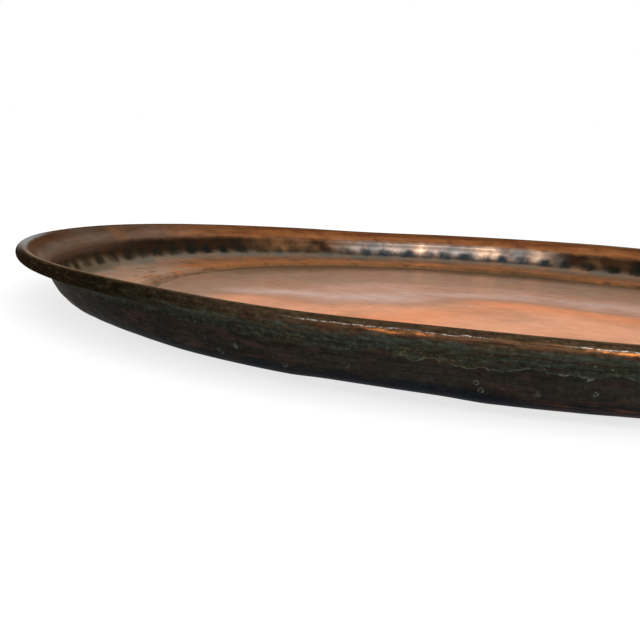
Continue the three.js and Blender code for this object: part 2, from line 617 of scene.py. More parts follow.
spots, given, result = new_group(
    "spots", {"Spacing": 20, "Radius": 3, "Cover": 0.3, "Seed": 0}, ["Disc", "Ring"])
place = object_place(spots)
offset = add(spots, "ShaderNodeCombineXYZ", {"X": given["Seed"], "Y": given["Seed"]})
rough_edge = add(spots, "ShaderNodeTexNoise", {"Vector": place, "Scale": EDGE_GRAIN, "Detail": 2})
cell = add(spots, "ShaderNodeTexVoronoi",
           {"Vector": calculate_vector(spots, "ADD", place, offset.outputs[0]),
            "Scale": calculate(spots, "DIVIDE", MM, given["Spacing"])}, feature="F1")
chance = add(spots, "ShaderNodeSeparateColor", {"Color": cell.outputs["Color"]})
away = calculate(spots, "MULTIPLY", cell.outputs["Distance"], given["Spacing"])
away = calculate(spots, "MULTIPLY_ADD", calculate(spots, "SUBTRACT", rough_edge.outputs[0], 0.5),
                 calculate(spots, "MULTIPLY", given["Radius"], 2), away)
reach = calculate(spots, "MULTIPLY", given["Radius"],
                  calculate(spots, "ADD", 0.5, chance.outputs["Green"]))
present = calculate(spots, "LESS_THAN", chance.outputs["Red"], given["Cover"])
inner = climb(spots, calculate(spots, "DIVIDE", away, reach), *RING_INSIDE)
outer = climb(spots, calculate(spots, "DIVIDE", away, reach), *RING_OUTSIDE)
spots.links.new(calculate(spots, "MULTIPLY", present, calculate(spots, "SUBTRACT", 1, outer)),
                result["Disc"])
spots.links.new(calculate(spots, "MULTIPLY", present, calculate(spots, "SUBTRACT", inner, outer)),
                result["Ring"])
print("spots:", len(spots.nodes), "nodes")

# %% [markdown]
# ## Stretches
#
# Some wear belongs to one side of the tray: where it was held, or where it rubbed against its
# neighbour in a stack. A stretch is a part of the ring, given like a clock hand: the direction of
# its middle and how far it reaches to both sides, in degrees.

# %% Group: stretch
stretch, given, result = new_group("stretch", {"Middle": 90, "Reach": 20, "Softness": 4}, ["Mask"])
hand = calculate(stretch, "RADIANS", given["Middle"])
pointer = add(stretch, "ShaderNodeCombineXYZ", {"X": calculate(stretch, "COSINE", hand),
                                                "Y": calculate(stretch, "SINE", hand)})
beside = calculate_vector(stretch, "DOT_PRODUCT", away_from_axis(stretch), pointer.outputs[0])
degrees_away = calculate(stretch, "DEGREES", calculate(stretch, "ARCCOSINE", beside))
stretch.links.new(
    climb(stretch, degrees_away, calculate(stretch, "ADD", given["Reach"], given["Softness"]),
          calculate(stretch, "SUBTRACT", given["Reach"], given["Softness"])), result["Mask"])
print("stretch:", len(stretch.nodes), "nodes")

# %% [markdown]
# ## Building up a finish in layers
#
# A restorer would describe this surface from the metal up: copper, then tarnish, then grime,
# then crust. The code says it in the same order. Each layer has a mask, a colour, how metallic
# it is and how rough, and it covers what is below only where its mask is 1. A shade is thinner:
# it only tints what is there.

# %% A finish made of layers
class Finish:
    """A material built from the metal up. A mask is 0 to 1: how much of a finish is here."""

    def __init__(self, material, colour, metal, rough):
        material.use_nodes = True
        self.name = material.name
        self.tree = material.node_tree
        self.shader = self.tree.nodes["Principled BSDF"]
        self.colour, self.metal, self.rough = colour, metal, rough
        self.height = 0.0

    def layer(self, masks, colour, metal, rough, raised=0.0):
        """Covers what is below. raised is its thickness in millimetres."""
        mask = self.overlap(masks)
        self.colour = mixed(self.tree, mask, self.colour, colour, "RGBA")
        self.metal = mixed(self.tree, mask, self.metal, metal)
        self.rough = mixed(self.tree, mask, self.rough, rough)
        if raised:
            self.raise_by(mask, raised)

    def shade(self, masks, tint):
        """Multiplies the colour below by a tint."""
        stain = add(self.tree, "ShaderNodeMix",
                    {0: self.overlap(masks), 6: self.colour, 7: tint},
                    data_type="RGBA", blend_type="MULTIPLY")
        self.colour = stain.outputs[2]

    def raise_by(self, mask, millimetres):
        self.height = calculate(self.tree, "MULTIPLY_ADD", mask, millimetres, self.height)

    def overlap(self, masks):
        """Where all masks lie over each other."""
        together = masks[0]
        for mask in masks[1:]:
            together = calculate(self.tree, "MULTIPLY", together, mask)
        return together

    def patches(self, size, cover, softness=0.1, seed=0):
        return use(self.tree, patches, size=size, cover=cover, softness=softness, seed=seed)[0]

    def streaks(self, length, width, cover, softness=0.1, seed=0):
        return use(self.tree, streaks, length=length, width=width, cover=cover,
                   softness=softness, seed=seed)[0]

    def band(self, start, end, wander=0.5, size=15, softness=1.0, seed=0):
        return use(self.tree, band, start=start, end=end, wander=wander, size=size,
                   softness=softness, seed=seed)[0]

    def stretches(self, table, softness=3):
        """Anywhere in a table of stretches, each a middle and a reach in degrees."""
        anywhere = 0.0
        for middle, reach in table:
            one = use(self.tree, stretch, middle=middle, reach=reach, softness=softness)[0]
            anywhere = calculate(self.tree, "MAXIMUM", anywhere, one)
        return anywhere

    def tell(self, zone):
        print(zone, "finished,", len(self.tree.nodes), "nodes so far")

    def close(self, edge_tint, specular):
        """Hands the finished colour and numbers to the shader, and the height as a bump."""
        self.tree.links.new(self.colour, self.shader.inputs["Base Color"])
        self.tree.links.new(self.metal, self.shader.inputs["Metallic"])
        self.tree.links.new(self.rough, self.shader.inputs["Roughness"])
        self.shader.inputs["Specular Tint"].default_value = edge_tint
        self.shader.inputs["Specular IOR Level"].default_value = specular
        relief = add(self.tree, "ShaderNodeBump", {"Height": self.height, "Distance": 1 / MM})
        self.tree.links.new(relief.outputs[0], self.shader.inputs["Normal"])
        self.tell(self.name)


step_foot, step_top = station["step foot"], station["step top"]
roll_start, rim_top = station["roll start"], station["rim top"]
rim_outside = station["rim outside"]
START, END = -50, 500
print("every zone lies between", START, "and", END, "mm, which is beyond the metal on both sides")

# %% [markdown]
# ## The well
#
# The well is kept polished, so it is bare copper under a thin film. Its largest mark is painted
# reflection: the room, the lip and the wall as mirrored in the well, laid out as two ovals that
# run together, which is a smooth minimum of two ellipses. Slow noise pushes each border about.

# %% Where the painted reflections lie
RIGHT_OVAL = ((0.02, -0.14), (0.17, 0.17))
LEFT_OVAL = ((-0.25, -0.15), (0.14, 0.13))
PALE_OVAL = ((0, -0.07), (0.23, 0.21))
OVALS_MELT = 0.2
PUSH = (0.2, 0.1, 0)
BARE_COPPER = paint(240, 144, 80)

copper = Finish(inside, BARE_COPPER, metal=0.6, rough=0.17)
tree = copper.tree
place = object_place(tree)
swirl = add(tree, "ShaderNodeTexNoise", {"Vector": place, "W": 0, "Scale": 6, "Detail": 1},
            noise_dimensions="4D")
centred = calculate_vector(tree, "SUBTRACT", swirl.outputs["Color"], (0.5, 0.5, 0.5))
pushed = calculate_vector(tree, "MULTIPLY_ADD", centred, PUSH, place)


def from_oval(middle, half_axes):
    """0 in the middle of an ellipse on the well, 1 on its border, more outside."""
    from_middle = calculate_vector(tree, "SUBTRACT", pushed, (*middle, 0))
    shrink = (1 / half_axes[0], 1 / half_axes[1], 0)
    return calculate_vector(tree, "LENGTH", calculate_vector(tree, "MULTIPLY", from_middle, shrink))


reflection_ovals = calculate(tree, "SMOOTH_MIN", from_oval(*RIGHT_OVAL), from_oval(*LEFT_OVAL),
                   OVALS_MELT)
cloud = from_oval(*PALE_OVAL)
copper.tell("reflection_ovals")

# %% [markdown]
# ## Painted reflections on the well
#
# Just inside the border of the ovals, the bare orange copper stands as a painted reflection of the
# bright room. The middle of each oval, and all of the left one, is a paler painted reflection.
# Outside lie a brown edge where the lip's top is mirrored, a pale lilac line where the bright room
# above the rim is mirrored, a pink haze where the lip is mirrored, and tan where the dark wall is
# mirrored: all painted reflections. Large brown patches are tarnish. Towards the step the well
# darkens with painted shade. After its colour, each layer says how much of it acts as metal and
# how rough it is. Patches are given by size in mm, cover and softness, streaks by length, width
# and cover.

# %% Finish: the well
PALE_PAINTED_REFLECTION = paint(232, 170, 136)
BROWN_REFLECTION_AND_STAIN = paint(180, 136, 112)
LILAC_PAINTED_REFLECTION = paint(214, 188, 180)
PINK_PAINTED_REFLECTION = paint(200, 164, 146)
TAN_PAINTED_REFLECTION = paint(166, 140, 121)
SPECK = paint(84, 62, 46)
FINE_MOTTLE = paint(224, 218, 214)
PAINTED_FOOT_SHADE = paint(160, 158, 146)
PALE_LEFT_OVAL = [(198, 20)]
DARK_FOOT_SIDES = [(98, 50), (285, 70)]

# These layers paint reflections of the room, the lip and the wall into the well's colour.
copper.layer([climb(tree, reflection_ovals, 0.95, 0.35)], PALE_PAINTED_REFLECTION, 0.56, 0.18)
copper.layer([climb(tree, reflection_ovals, 0.84, 1.02)], BROWN_REFLECTION_AND_STAIN, 0.4, 0.2)
copper.layer([climb(tree, reflection_ovals, 1.1, 0.85), copper.stretches(PALE_LEFT_OVAL, 12)], PALE_PAINTED_REFLECTION, 0.5, 0.2)
copper.layer([climb(tree, reflection_ovals, 0.98, 1.24)], LILAC_PAINTED_REFLECTION, 0.32, 0.2)
copper.layer([climb(tree, reflection_ovals, 1.2, 1.5)], PINK_PAINTED_REFLECTION, 0.42, 0.2)
copper.layer([climb(tree, cloud, 0.9, 1.06)], TAN_PAINTED_REFLECTION, 0.42, 0.24)
copper.layer([copper.patches(90, 0.22, 0.2, seed=2)], BROWN_REFLECTION_AND_STAIN, 0.4, 0.25)
copper.layer([copper.patches(5, 0.012, 0.02, seed=30)], SPECK, 0.3, 0.5)
copper.shade([copper.patches(14, 0.5, 0.3, seed=31)], FINE_MOTTLE)
# Painted shade: on two sides the well darkens towards the foot of the step.
dark_foot_side = copper.stretches(DARK_FOOT_SIDES, 22)
copper.shade([copper.band(step_foot - 38, END, wander=7, size=60, softness=28, seed=1),
              dark_foot_side], PAINTED_FOOT_SHADE)
copper.tell("well")

# %% [markdown]
# ## The ledge
#
# The ledge has gone orange-brown, brightest at the step, where a cloth catches it. Dust settles
# in the heel. Bands are in mm along the metal: the ledge lies from 313 to 357, the wall from 376
# to 393, then come the lip up to 414 and the rolled rim up to 435.

# %% Finish: the ledge
LEDGE_BROWN = paint(156, 112, 82)
LEDGE_ORANGE = paint(176, 116, 72)
LEDGE_BRIGHT = paint(206, 132, 84)
LEDGE_DULL = paint(104, 80, 58)
LEDGE_TAN = paint(178, 150, 130)
STEP_SHADE = paint(204, 200, 194)
HEEL_DUST = paint(104, 101, 90)
TAN_LEDGE = [(176, 20), (350, 20)]
RUBBED_LEDGE = [(149, 8), (20, 12), (250, 10)]
DULL_LEDGE = [(74, 13), (205, 12), (310, 14)]

ledge = copper.band(step_foot + 2, END, wander=0.4, size=24, softness=1.5)
copper.layer([ledge], LEDGE_BROWN, 0.55, 0.36)
copper.layer([copper.band(step_foot + 4, 334, wander=4, size=30, softness=6, seed=4),
              copper.patches(40, 0.8, 0.3, seed=5)], LEDGE_ORANGE, 0.6, 0.34)
copper.layer([ledge, copper.stretches(TAN_LEDGE, 14)], LEDGE_TAN, 0.5, 0.36)
copper.layer([copper.band(step_top, 342, wander=3, size=20, softness=5, seed=75),
              copper.stretches(RUBBED_LEDGE, 4), copper.patches(22, 0.62, 0.25, seed=76)],
             LEDGE_BRIGHT, 0.7, 0.3)
copper.layer([ledge, copper.patches(26, 0.24, 0.12, seed=4)], LEDGE_BRIGHT, 0.7, 0.3)
copper.layer([ledge, copper.patches(18, 0.24, 0.14, seed=44)], LEDGE_DULL, 0.45, 0.4)
copper.layer([copper.band(363, END, wander=2, size=20, softness=8, seed=22),
              copper.patches(40, 0.85, 0.3, seed=23)], HEEL_DUST, 0.3, 0.45)
copper.layer([copper.band(step_foot, 334, wander=4, size=24, softness=8, seed=81),
              copper.stretches(DULL_LEDGE, 10), copper.patches(20, 0.75, 0.3, seed=82)],
             LEDGE_DULL, 0.5, 0.4)
copper.shade([copper.band(step_foot + 1, step_top + 2, wander=0.5, size=20, softness=1.5,
                          seed=77)], STEP_SHADE)
copper.tell("ledge")

# %% [markdown]
# ## The lip
#
# The flared lip is a warm brown, darker towards its edges, and greyer where hands held it. Its
# lighter orange middle is a painted highlight, and its darkening under the roll is painted shade.
# A hand or a cloth slides along it, so its wear is drawn out into streaks.

# %% Finish: the lip
LIP_BROWN = paint(168, 109, 66)
LIP_MAUVE = paint(104, 95, 88)
LIP_DARK = paint(86, 58, 40)
LIP_RED = paint(124, 76, 54)
LIP_STREAKS = paint(184, 176, 168)
LIP_ROLL_SHADE = paint(216, 210, 204)
HELD_LIP = [(180, 34), (330, 24)]
DARK_LIP = [(190, 12), (330, 12)]

lip = copper.band(390, END, wander=0.8, size=16, softness=3, seed=3)
copper.layer([lip], LIP_BROWN, 0.6, 0.38)
copper.layer([lip, copper.streaks(70, 5, 0.22, 0.25, seed=19)], LIP_DARK, 0.5, 0.45)
# Painted highlight: a lighter orange band along the middle of the lip.
copper.layer([copper.band(396, 405, wander=3, size=40, softness=4, seed=24),
              copper.streaks(60, 9, 0.5, 0.3, seed=55)], LEDGE_ORANGE, 0.65, 0.36)
copper.layer([lip, copper.patches(22, 0.3, 0.2, seed=26)], LIP_RED, 0.45, 0.4)
copper.layer([lip, copper.stretches(HELD_LIP, 20), copper.patches(70, 0.97, 0.3, seed=1)],
             LIP_MAUVE, 0.2, 0.4)
copper.layer([copper.band(404, END, wander=1.5, size=30, softness=4, seed=83),
              copper.stretches(DARK_LIP, 8)], LIP_DARK, 0.2, 0.4)
copper.shade([lip, copper.streaks(40, 7, 0.5, 0.35, seed=27)], LIP_STREAKS)
# Painted shade: the lip darkens where it runs in under the roll.
copper.shade([copper.band(407, END, wander=1, size=30, softness=4, seed=25)], LIP_ROLL_SHADE)
copper.tell("lip")

# %% [markdown]
# ## The wall
#
# The steep wall is brown to black: partly tarnish where no cloth reaches, and partly a painted
# dark reflection of the room. Some stretches below the crease have been rubbed tan. Others are
# worn metal with a painted sheen, painted grey to blue reflections and painted highlights. Where
# the tray was held, the corners of the wall are mauve and dusty.

# %% Finish: the wall
WALL_BROWN_AND_DARK_REFLECTION = paint(50, 34, 22)
WALL_BLACK_AND_DARK_REFLECTION = paint(24, 28, 25)
WALL_WORN_AND_SHEEN = paint(172, 144, 128)
WALL_HIGHLIGHT = paint(228, 188, 156)
WALL_TAN = paint(124, 90, 62)
WALL_BLUE_REFLECTION = paint(126, 130, 130)
WALL_MAUVE = paint(88, 68, 57)
WALL_DUST = paint(96, 86, 70)
WORN_AND_SHINING_WALL = [(89, 21), (222, 12), (300, 18), (22, 10)]
HIGHLIT_WALL = [(80.5, 2.2), (70, 1.5), (94, 0.8), (222, 5), (300, 6)]
TAN_WALL = [(119, 11), (58, 2.5), (240, 24), (335, 20)]
HELD_WALL = [(182, 15), (335, 12)]

below_lip = copper.band(START, 394.5, wander=1.2, size=14, softness=3.5, seed=6)
wall = copper.overlap([copper.band(376, END, wander=1.2, size=12, softness=5.5, seed=6), below_lip])
# The wall's brown and black are tarnish, and partly a painted dark reflection of the room.
copper.layer([wall], WALL_BROWN_AND_DARK_REFLECTION, 0.3, 0.36)
copper.layer([wall, copper.patches(30, 0.35, 0.2, seed=8)], WALL_BLACK_AND_DARK_REFLECTION, 0.3, 0.4)
held_wall = copper.stretches(HELD_WALL, 12)
copper.layer([copper.band(388, 397, wander=1.5, size=16, softness=4, seed=78), held_wall],
             WALL_MAUVE, 0.2, 0.4)
copper.layer([copper.band(366, 381.5, wander=1.5, size=14, softness=4, seed=79), held_wall],
             WALL_DUST, 0.3, 0.45)
upper_wall = copper.band(379, 396, wander=1.8, size=12, softness=3, seed=9)
copper.layer([upper_wall, copper.stretches(TAN_WALL, 6), copper.patches(34, 0.5, 0.2, seed=11)],
             WALL_TAN, 0.5, 0.32)
# Worn metal with a painted sheen, painted blue-grey reflections and painted highlights.
worn_and_shining_wall = copper.overlap([copper.band(379, 396, wander=2, size=14, softness=3.5, seed=9),
                            copper.stretches(WORN_AND_SHINING_WALL, 5)])
copper.layer([worn_and_shining_wall, copper.patches(20, 0.55, 0.25, seed=21)], WALL_WORN_AND_SHEEN, 0.7, 0.28)
copper.layer([worn_and_shining_wall, copper.patches(18, 0.32, 0.25, seed=93)], WALL_BLUE_REFLECTION, 0.4, 0.3)
copper.layer([worn_and_shining_wall, copper.stretches(HIGHLIT_WALL, 2), copper.patches(16, 0.66, 0.2, seed=84)],
             WALL_HIGHLIGHT, 0.9, 0.24)
copper.tell("wall")

# %% [markdown]
# ## Dark hammer dents
#
# The hammer dents at the foot of the wall are painted dark, black where the wall is dark and grey
# where it shines: a painted reflection of the dark room in each hollow. On some stretches they are
# painted fainter. The mesh already keeps how near the middle of a dent each vertex lies, and a
# climb turns that into a mask.

# %% Finish: dark hammer dents
WALL_GREY_REFLECTION = paint(46, 54, 58)
FAINT_DENTS = [(120, 10), (250, 16), (350, 12)]
FAINT_SHARE = 0.65

in_dent = climb(tree, stored(tree, "dent"), 0.25, 0.95)
dent_strength = calculate(tree, "MULTIPLY_ADD", copper.stretches(FAINT_DENTS, 6), -FAINT_SHARE, 1)
# Painted reflection: the dents are painted dark, grey where the wall shines.
copper.layer([copper.band(373.5, 387, wander=2.5, size=8, softness=3, seed=15), in_dent,
              copper.patches(16, 0.8, 0.2, seed=16), dent_strength],
             mixed(tree, copper.stretches(WORN_AND_SHINING_WALL, 7), WALL_BLACK_AND_DARK_REFLECTION, WALL_GREY_REFLECTION, "RGBA"),
             0.2, 0.4)
copper.tell("dents")

# %% [markdown]
# ## Grime in the step
# ## Grime and shade in the step
#
# Old polish and dirt pack into the foot of the step, where no cloth reaches, and the wider dark
# band there is also painted shade in the corner. Outside the well the metal is also pitted, so fine
# patches raise it by a few hundredths of a millimetre.

# %% Finish: grime and painted shade in the step
STEP_GRIME_AND_SHADE = paint(102, 83, 61)
STEP_DIRT = paint(52, 48, 32)

# Dirt, and painted shade, in the corner at the foot of the step.
copper.layer([copper.band(step_foot - 14, step_foot + 2, wander=1.5, size=24, softness=5, seed=13),
              copper.patches(40, 0.85, 0.3, seed=12), dark_foot_side], STEP_GRIME_AND_SHADE, 0.25, 0.5)
copper.layer([copper.band(step_foot - 6, step_foot + 2, wander=0.8, size=24, softness=3, seed=13),
              copper.streaks(22, 6, 0.5, 0.45, seed=56)], STEP_DIRT, 0.1, 0.7)
copper.raise_by(copper.overlap([copper.patches(7, 0.5, 0.3, seed=20), ledge]), 0.03)
copper.tell("step")

# %% [markdown]
# ## Tarnish on the rolled rim
#
# Nobody polishes the rim. It is olive above, with red-brown and greenish dirt below, all in short
# streaks, because grime catches in the fine scratches that run round it. One side is darker. A
# pale line along the inner edge of its top is a painted highlight, and the grey on its tip is a
# painted sheen. A tint above 255 brightens, so dark and pale flecks together keep the average.

# %% Finish: tarnish and painted sheen on the rim
RIM_OLIVE = paint(80, 64, 46)
RIM_RED = paint(74, 52, 42)
RIM_GREEN = paint(66, 75, 66)
RIM_DARK = paint(29, 23, 16)
RIM_MOSS = paint(62, 54, 38)
RIM_EDGE_HIGHLIGHT = paint(122, 110, 95)
RIM_TIP_SHEEN = paint(140, 144, 146)
FIBRES = paint(186, 184, 182)
DARK_FLECKS = paint(184, 182, 178)
PALE_FLECKS = paint(338, 342, 344)
GREEN_SIDES = [(258, 24), (75, 30), (150, 12), (330, 18)]
DARK_SIDES = [(214, 26), (120, 14), (20, 20)]
HIGHLIT_EDGE = [(218, 26), (300, 40), (40, 30)]
SHEEN_TIP = [(193, 8), (350, 6)]

rim = copper.band(roll_start + 0.5, END, wander=0.2, size=20, softness=0.6)
copper.layer([rim], RIM_OLIVE, 0.25, 0.42)
copper.layer([rim, copper.streaks(14, 2, 0.45, 0.2, seed=61)], RIM_RED, 0.2, 0.45)
copper.layer([copper.band(rim_outside - 1, END, wander=0.8, size=12, softness=0.9, seed=62)],
             RIM_RED, 0.15, 0.5)
copper.layer([copper.band(rim_top + 1.5, END, wander=0.4, size=30, softness=1.2, seed=69),
              copper.stretches(DARK_SIDES, 10)], RIM_DARK, 0.05, 0.5)
green_side = copper.stretches(GREEN_SIDES, 8)
copper.layer([copper.band(rim_outside + 1, END, wander=1.2, size=12, softness=1, seed=63),
              green_side, copper.streaks(60, 4, 0.85, 0.2, seed=17)], RIM_GREEN, 0.05, 0.65)
copper.layer([rim, copper.streaks(8, 2, 0.16, 0.15, seed=64)], RIM_MOSS, 0.1, 0.6)
copper.layer([rim, copper.patches(3, 0.3, 0.2, seed=74), green_side], RIM_MOSS, 0.1, 0.6)
copper.shade([rim, copper.streaks(16, 0.8, 0.5, 0.3, seed=68)], FIBRES)
copper.shade([rim, copper.streaks(7, 1.4, 0.42, 0.22, seed=95)], DARK_FLECKS)
copper.shade([rim, copper.patches(2.4, 0.36, 0.2, seed=96)], PALE_FLECKS)
# Painted highlight along the inner top edge of the roll.
copper.layer([copper.band(roll_start, rim_top + 0.4, wander=0.3, size=20, softness=0.5,
                          seed=70), copper.stretches(HIGHLIT_EDGE, 6),
              copper.streaks(60, 8, 0.85, 0.3, seed=71)], RIM_EDGE_HIGHLIGHT, 0.25, 0.35)
# Painted sheen: the grey on the tip.
copper.layer([copper.band(roll_start, rim_top + 3, wander=0.6, size=20, softness=1.5, seed=72),
              copper.stretches(SHEEN_TIP, 6)], RIM_TIP_SHEEN, 0.1, 0.4)
copper.tell("rim")

# %% [markdown]
# ## Wear and painted glints on the rim
#
# The rim is held, stacked and knocked, so in places it has worn where it is widest: a brown
# rubbed band, and in it a thin broken line of bright metal that also carries a painted glint, with
# a painted pale highlight line beside it.

# %% Finish: wear and painted glints on the rim
RIM_RUBBED = paint(104, 71, 47)
RIM_WORN_AND_GLINT = paint(198, 122, 68)
RIM_PALE_HIGHLIGHT = paint(190, 180, 170)
RUBBED_RIM = [(256, 9), (80, 20), (310, 15)]
WORN_AND_GLINTING_RIM = [(251.8, 2), (264.6, 1.8), (75, 5), (128, 3), (305, 7), (20, 4)]
HIGHLIT_RIM = [(248.6, 3.8), (255, 2), (264, 2.2), (77, 4), (302, 5), (160, 2), (22, 4)]

copper.layer([copper.band(rim_outside - 2, rim_outside, wander=0.6, size=10, softness=0.5,
                          seed=65), copper.stretches(RUBBED_RIM, 3),
              copper.streaks(24, 1.2, 0.45, 0.15, seed=73)], RIM_RUBBED, 0.5, 0.35)
# Worn copper along the widest line, with a painted glint.
copper.layer([copper.band(rim_outside - 1.3, rim_outside - 0.6, wander=0.6, size=10, softness=0.35,
                          seed=65), copper.stretches(WORN_AND_GLINTING_RIM, 1),
              copper.patches(3.5, 0.58, 0.12, seed=66)], RIM_WORN_AND_GLINT, 0.85, 0.33)
# Painted highlight: a pale line beside the worn one.
copper.layer([copper.band(rim_outside - 2.1, rim_outside - 1.8, wander=0.5, size=12, softness=0.25,
                          seed=65), copper.stretches(HIGHLIT_RIM, 1),
              copper.patches(1.6, 0.5, 0.12, seed=67)], RIM_PALE_HIGHLIGHT, 0.6, 0.35)
copper.close(edge_tint=(1.0, 0.67, 0.48, 1.0), specular=0.0)

# %% [markdown]
# ## Outside of the tray
#
# Nobody polishes the outside. Heat and handling turn it dark brown, in streaks of red-brown and
# green-black. Its heel is darkened with painted shade where it turns down to the table, and
# scraped in places where the tray is pushed about.

# %% Finish: bare outside
UMBER = paint(66, 55, 48)
RED_BROWN = paint(84, 58, 50)
GREEN_BLACK = paint(52, 54, 47)
SOOT_AND_PAINTED_SHADE = paint(26, 33, 41)
GREY_DUST = paint(94, 88, 78)
SCRAPED = paint(128, 82, 58)
SCRAPES = [(266, 5), (40, 12), (120, 6), (330, 8)]

crust = Finish(outside, UMBER, metal=0.1, rough=0.5)
crust.layer([crust.streaks(50, 6, 0.5, 0.2, seed=31)], RED_BROWN, 0.15, 0.45)
crust.layer([crust.patches(32, 0.45, 0.2, seed=32)], GREEN_BLACK, 0.05, 0.55)
crust.layer([crust.streaks(18, 1.6, 0.4, 0.15, seed=42)], GREEN_BLACK, 0.05, 0.55)
crust.layer([crust.streaks(12, 1.4, 0.3, 0.25, seed=54), crust.patches(60, 0.5, 0.2, seed=29)],
            GREY_DUST, 0.0, 0.7)
# Painted shade: the heel is dark where it faces down to the table.
crust.layer([crust.band(340, 377, wander=2.5, size=30, softness=5, seed=33)], SOOT_AND_PAINTED_SHADE, 0.0, 0.5)
crust.layer([crust.band(362, 377, wander=3, size=25, softness=3, seed=34),
             crust.stretches(SCRAPES, 3), crust.streaks(16, 1.6, 0.3, 0.12, seed=35)],
            SCRAPED, 0.4, 0.45)
crust.tell("outside")

# %% [markdown]
# ## The underside
#
# The underside is brown with red, grey and sooty clouds. It is rubbed back to copper where it
# slides on the table, just inside the step.

# %% Finish: underside
UNDER_BROWN = paint(96, 74, 60)
UNDER_RED = paint(118, 78, 58)
UNDER_GREY = paint(78, 78, 72)
RUBBED_BASE = paint(168, 112, 78)

under = crust.band(START, 352, wander=3, size=60, softness=9, seed=85)
crust.layer([under], UNDER_BROWN, 0.3, 0.45)
crust.layer([under, crust.patches(110, 0.5, 0.3, seed=86)], UNDER_RED, 0.35, 0.42)
crust.layer([under, crust.patches(70, 0.42, 0.2, seed=87)], UNDER_GREY, 0.05, 0.6)
crust.layer([under, crust.patches(150, 0.4, 0.25, seed=88)], SOOT_AND_PAINTED_SHADE, 0.0, 0.55)
crust.layer([crust.band(272, step_foot, wander=5, size=60, softness=7, seed=89),
             crust.patches(45, 0.6, 0.25, seed=90)], RUBBED_BASE, 0.65, 0.36)
crust.layer([crust.band(START, 300, wander=3, size=60, softness=9, seed=85),
             crust.patches(14, 0.14, 0.12, seed=91), crust.patches(90, 0.35, 0.2, seed=94)],
            RUBBED_BASE, 0.5, 0.4)
crust.layer([crust.band(step_foot + 1, step_top + 5, wander=1.5, size=30, softness=2.5, seed=92)],
            SOOT_AND_PAINTED_SHADE, 0.0, 0.6)
crust.tell("underside")

# %% [markdown]
# ## Crust under the lip
#
# Where the lip keeps the damp in, the copper grows a dull grey-green crust, with a pale edge
# where it dried. It is thicker than a film, so it is also raised.

# %% Finish: crust under the lip
VERDIGRIS = paint(72, 80, 70)
GREY_CRUST = paint(90, 97, 87)
OLIVE_CRUST = paint(76, 70, 52)
DARK_CRUST_AND_SHADE = paint(47, 39, 31)
PALE_CRUST = paint(146, 152, 134)
YELLOW_GREEN = paint(124, 124, 82)
TEAL_LINE = paint(98, 110, 102)
TEAL_SIDES = [(214, 18), (130, 20), (20, 15)]
DRIED_SIDES = [(264, 14), (60, 25), (150, 10)]
YELLOW_SIDES = [(254, 3), (243, 1.5), (100, 6), (35, 5), (310, 8)]

corner = crust.band(crease_line - 2, END, wander=2.4, size=15, softness=0.8, seed=36)
green_corner = crust.overlap([corner, crust.stretches(GREEN_SIDES, 8)])
# Dark crust, and painted shade, on the underside of the lip.
crust.layer([crust.band(crease_line + 3, END, wander=2, size=40, softness=3, seed=37)],
            DARK_CRUST_AND_SHADE, 0.1, 0.6)
crust.layer([crust.band(crease_line - 1, crease_line + 4, wander=1.5, size=30, softness=1.5,
                        seed=58)], VERDIGRIS, 0.0, 0.75)
crust.layer([crust.band(crease_line - 0.5, crease_line + 3, wander=1, size=30, softness=1.2,
                        seed=80), crust.stretches(TEAL_SIDES, 6)],
            TEAL_LINE, 0.0, 0.75)
crust.layer([green_corner], VERDIGRIS, 0.0, 0.75, raised=0.04)
crust.layer([green_corner, crust.streaks(14, 1.5, 0.4, 0.2, seed=57)], GREY_CRUST, 0.0, 0.8)
crust.layer([corner, crust.streaks(24, 2.4, 0.42, 0.2, seed=45)], OLIVE_CRUST, 0.05, 0.7)
crust.layer([corner, crust.streaks(34, 2.4, 0.2, 0.1, seed=46)], RED_BROWN, 0.15, 0.5)
crust.layer([crust.band(crease_line - 2.5, crease_line - 2.1, wander=2.4, size=15, softness=0.25,
                        seed=36), crust.stretches(DRIED_SIDES, 4),
             crust.patches(6, 0.54, 0.14, seed=38)], PALE_CRUST, 0.0, 0.8, raised=0.05)
crust.layer([corner, crust.patches(1.8, 0.05, 0.04, seed=28)], PALE_CRUST, 0.0, 0.8)
crust.layer([crust.band(crease_line - 3, crease_line + 3, wander=1, size=12, softness=1, seed=47),
             crust.stretches(YELLOW_SIDES, 1),
             crust.patches(2.2, 0.24, 0.08, seed=49)], YELLOW_GREEN, 0.0, 0.8, raised=0.05)
crust.tell("crust")

# %% [markdown]
# ## Rings, painted shade and flecks
#
# Drops left small pale rings and blots on the wall. Last come tints over all the rest: some sides
# are darkened with painted shade, and fine flecks and grit break up every colour.

# %% Finish: rings left by drops
DRIED_DROP = paint(136, 148, 136)
PAINTED_SIDE_SHADE = paint(222, 222, 224)
GRIT = paint(215, 215, 215)
WALL_FLECKS = paint(196, 198, 200)
RED_MOTTLE = paint(66, 49, 43)
SHADED_SIDES = [(225, 14), (40, 20), (140, 16)]

drops = use(crust.tree, spots, spacing=8, radius=1.5, cover=0.6, seed=7)
drop_zone = crust.band(375, 388, wander=1, size=30, softness=2, seed=39)
crust.layer([drops["Ring"], drop_zone, crust.patches(2.2, 0.6, 0.15, seed=51),
             crust.patches(30, 0.6, 0.1, seed=50)], DRIED_DROP, 0.0, 0.8, raised=0.03)
blots = use(crust.tree, spots, spacing=30, radius=4, cover=0.4, seed=4)
crust.layer([blots["Disc"], drop_zone, crust.patches(2, 0.4, 0.1, seed=59)],
            DRIED_DROP, 0.0, 0.8)
crust.shade([crust.streaks(20, 0.9, 0.5, 0.35, seed=60)], FIBRES)
